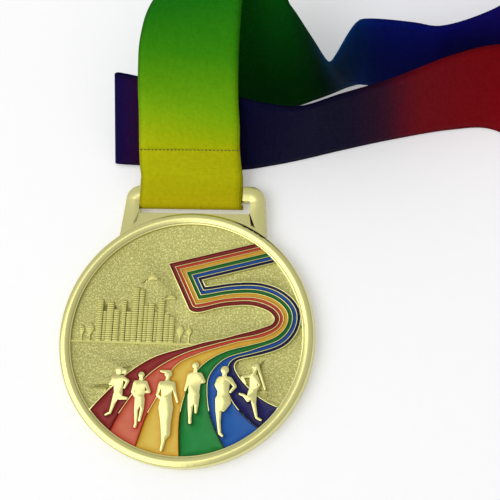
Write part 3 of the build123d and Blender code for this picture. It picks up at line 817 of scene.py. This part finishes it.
def stitch_tree(material):
    tree = bpy.data.node_groups.new("stitch_row", "GeometryNodeTree")
    names = {
        "Stitches": tree_input(tree, "Stitches", "Int", STITCHES),
        "Start": tree_input(tree, "Start", "Vector", (0, 0, 0)),
        "Step": tree_input(tree, "Step", "Vector", (0.001, 0, 0)),
        "Turn": tree_input(tree, "Turn", "Rotation", (0, 0, 0)),
        "Length": tree_input(tree, "Length", "Float", STITCH_LENGTH),
        "Thread": tree_input(tree, "Thread", "Float", THREAD),
        "Seed": tree_input(tree, "Seed", "Int", 4),
    }
    tree.interface.new_socket("Geometry", in_out="OUTPUT", socket_type="NodeSocketGeometry")
    group_in = tree.nodes.new("NodeGroupInput")
    given = {socket.name: socket for socket in group_in.outputs}

    def add(kind, settings=None, **sockets):
        node = tree.nodes.new(kind)
        for key, value in (settings or {}).items():
            setattr(node, key, value)
        for key, value in sockets.items():
            socket = node.inputs[key.replace("_", " ")]
            if isinstance(value, bpy.types.NodeSocket):
                tree.links.new(value, socket)
            else:
                socket.default_value = value
        return node

    line = add("GeometryNodeMeshLine", {"mode": "OFFSET"}, Count=given["Stitches"],
               Start_Location=given["Start"], Offset=given["Step"])
    bead = add("GeometryNodeMeshUVSphere", Segments=10, Rings=7, Radius=0.5)
    size = add("ShaderNodeCombineXYZ", X=given["Length"], Y=given["Thread"], Z=given["Thread"])
    spread = add("FunctionNodeRandomValue", {"data_type": "FLOAT"}, Seed=given["Seed"])
    spread.inputs[2].default_value, spread.inputs[3].default_value = SMALLEST, LARGEST
    scaled = add("ShaderNodeVectorMath", {"operation": "SCALE"}, Vector=size.outputs[0],
                 Scale=spread.outputs[1])
    placed = add("GeometryNodeInstanceOnPoints", Points=line.outputs[0], Instance=bead.outputs[0],
                 Rotation=given["Turn"], Scale=scaled.outputs[0])
    real = add("GeometryNodeRealizeInstances", Geometry=placed.outputs[0])
    smooth = add("GeometryNodeSetShadeSmooth", Geometry=real.outputs[0])
    last = add("GeometryNodeSetMaterial", Geometry=smooth.outputs[0], Material=material)
    tree.links.new(last.outputs[0], tree.nodes.new("NodeGroupOutput").inputs[0])
    return tree, names


# %% Thread finish and the two rows
def thread_finish():
    thread = Finish("polyester_thread", Sheen_Weight=0.3)
    spot, _ = thread.place()
    twist = (thread.noise(spot, 4200.0, 1.0) - 0.5) * 0.8 + 0.5
    tone = thread.mixed(twist, srgb(52, 58, 14), srgb(88, 94, 22))
    thread.feed(Base_Color=tone, Roughness=0.5 + twist * 0.2)
    return thread.bump(twist, 0.05 * MM, 0.7).material


FRONT_ROW_LAYER, BACK_ROW_LAYER = 3.26, 1.66
thread = thread_finish()
tree, sockets = stitch_tree(thread)


def stitch_row(name, layer):
    start = on_slope(LEG_LEFT, SEAM_UP[0], layer) * MM
    end = on_slope(LEG_RIGHT, SEAM_UP[1], layer) * MM
    step = (end - start) / STITCHES
    along = step.normalized()
    up = SLOPE_NORMAL.normalized()
    side = up.cross(along).normalized()
    turn = Matrix((along, side, along.cross(side))).transposed().to_euler()
    row = bpy.data.objects.new(name, bpy.data.meshes.new(name))
    bpy.context.collection.objects.link(row)
    sewing = row.modifiers.new("sewing", "NODES")
    sewing.node_group = tree
    sewing[sockets["Start"]] = start + step / 2
    sewing[sockets["Step"]] = step
    sewing[sockets["Turn"]] = turn
    return made_plain(row)


rows = [stitch_row("front_row", FRONT_ROW_LAYER), stitch_row("back_row", BACK_ROW_LAYER)]
sewn = bmesh.new()
for row in rows:
    sewn.from_mesh(row.data)
    bpy.data.objects.remove(row)
stitches = bpy.data.objects.new("seam_stitches", bpy.data.meshes.new("seam_stitches"))
sewn.to_mesh(stitches.data)
sewn.free()
stitches.data.materials.append(thread)
for polygon in stitches.data.polygons:
    polygon.use_smooth = True
bpy.context.collection.objects.link(stitches)
print("stitch faces", len(stitches.data.polygons))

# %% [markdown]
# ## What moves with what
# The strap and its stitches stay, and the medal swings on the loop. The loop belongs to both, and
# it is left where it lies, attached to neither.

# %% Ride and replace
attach(ribbon, "ribbon")
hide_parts("neck_ribbon")
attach(stitches, "ribbon")
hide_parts("seam_thread")
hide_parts("ribbon_slot_loop")
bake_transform(slot_ribbon)

# %% [markdown]
# ## Table and light
# A plain white table that glows a little, like a light table, one large soft lamp above and to the
# left, and a pale room. The lamp hangs level, so the polished faces mirror it: the ones that see
# past its right or far edge go dim, and that is the change of tone over the rim and the figures.

# %% Table
def table_finish():
    paper = Finish("white_table", Emission_Strength=0.22)
    spot, _ = paper.place()
    grain = paper.noise(spot, 300.0, 3.0)
    white = paper.mixed(grain, srgb(247, 247, 248), srgb(251, 251, 252))
    return paper.feed(Base_Color=white, Emission_Color=white, Roughness=0.7 + grain * 0.1).material


table_mesh = bpy.data.meshes.new("table")
table_mesh.from_pydata([(-3, -3, 0), (3, -3, 0), (3, 3, 0), (-3, 3, 0)], [], [(0, 1, 2, 3)])
table = bpy.data.objects.new("table", table_mesh)
table.data.materials.append(table_finish())
bpy.context.collection.objects.link(table)

# %% Lamp
LAMP_HEIGHT = 1.3
LAMP_SIZE = 1.7
LAMP_RIGHT_EDGE, LAMP_FAR_EDGE = -0.235, 0.36
LAMP_WATTS = 11.0

data = bpy.data.lights.new("soft_lamp", "AREA")
data.shape = "SQUARE"
data.size = LAMP_SIZE
data.energy = LAMP_WATTS
lamp = bpy.data.objects.new("soft_lamp", data)
lamp.location = (LAMP_RIGHT_EDGE - LAMP_SIZE / 2, LAMP_FAR_EDGE - LAMP_SIZE / 2, LAMP_HEIGHT)
bpy.context.collection.objects.link(lamp)

# %% Room: pale overhead, dimmer low down and to the right
BRIGHT_WAY = (-0.6, 0.0, 0.8)
DIMMEST, BRIGHTEST = 0.22, 0.72

world = bpy.data.worlds.new("room")
world.use_nodes = True
nodes, links = world.node_tree.nodes, world.node_tree.links
direction = nodes.new("ShaderNodeTexCoord").outputs["Generated"]
toward = nodes.new("ShaderNodeVectorMath")
toward.operation = "DOT_PRODUCT"
toward.inputs[1].default_value = BRIGHT_WAY
span = nodes.new("ShaderNodeMapRange")
span.inputs["From Min"].default_value = -1.0
span.inputs["To Min"].default_value = DIMMEST
span.inputs["To Max"].default_value = BRIGHTEST
links.new(direction, toward.inputs[0])
links.new(toward.outputs["Value"], span.inputs["Value"])
links.new(span.outputs[0], nodes["Background"].inputs["Strength"])
nodes["Background"].inputs["Color"].default_value = (1, 1, 1, 1)
bpy.context.scene.world = world
bpy.context.scene.view_settings.view_transform = "Standard"
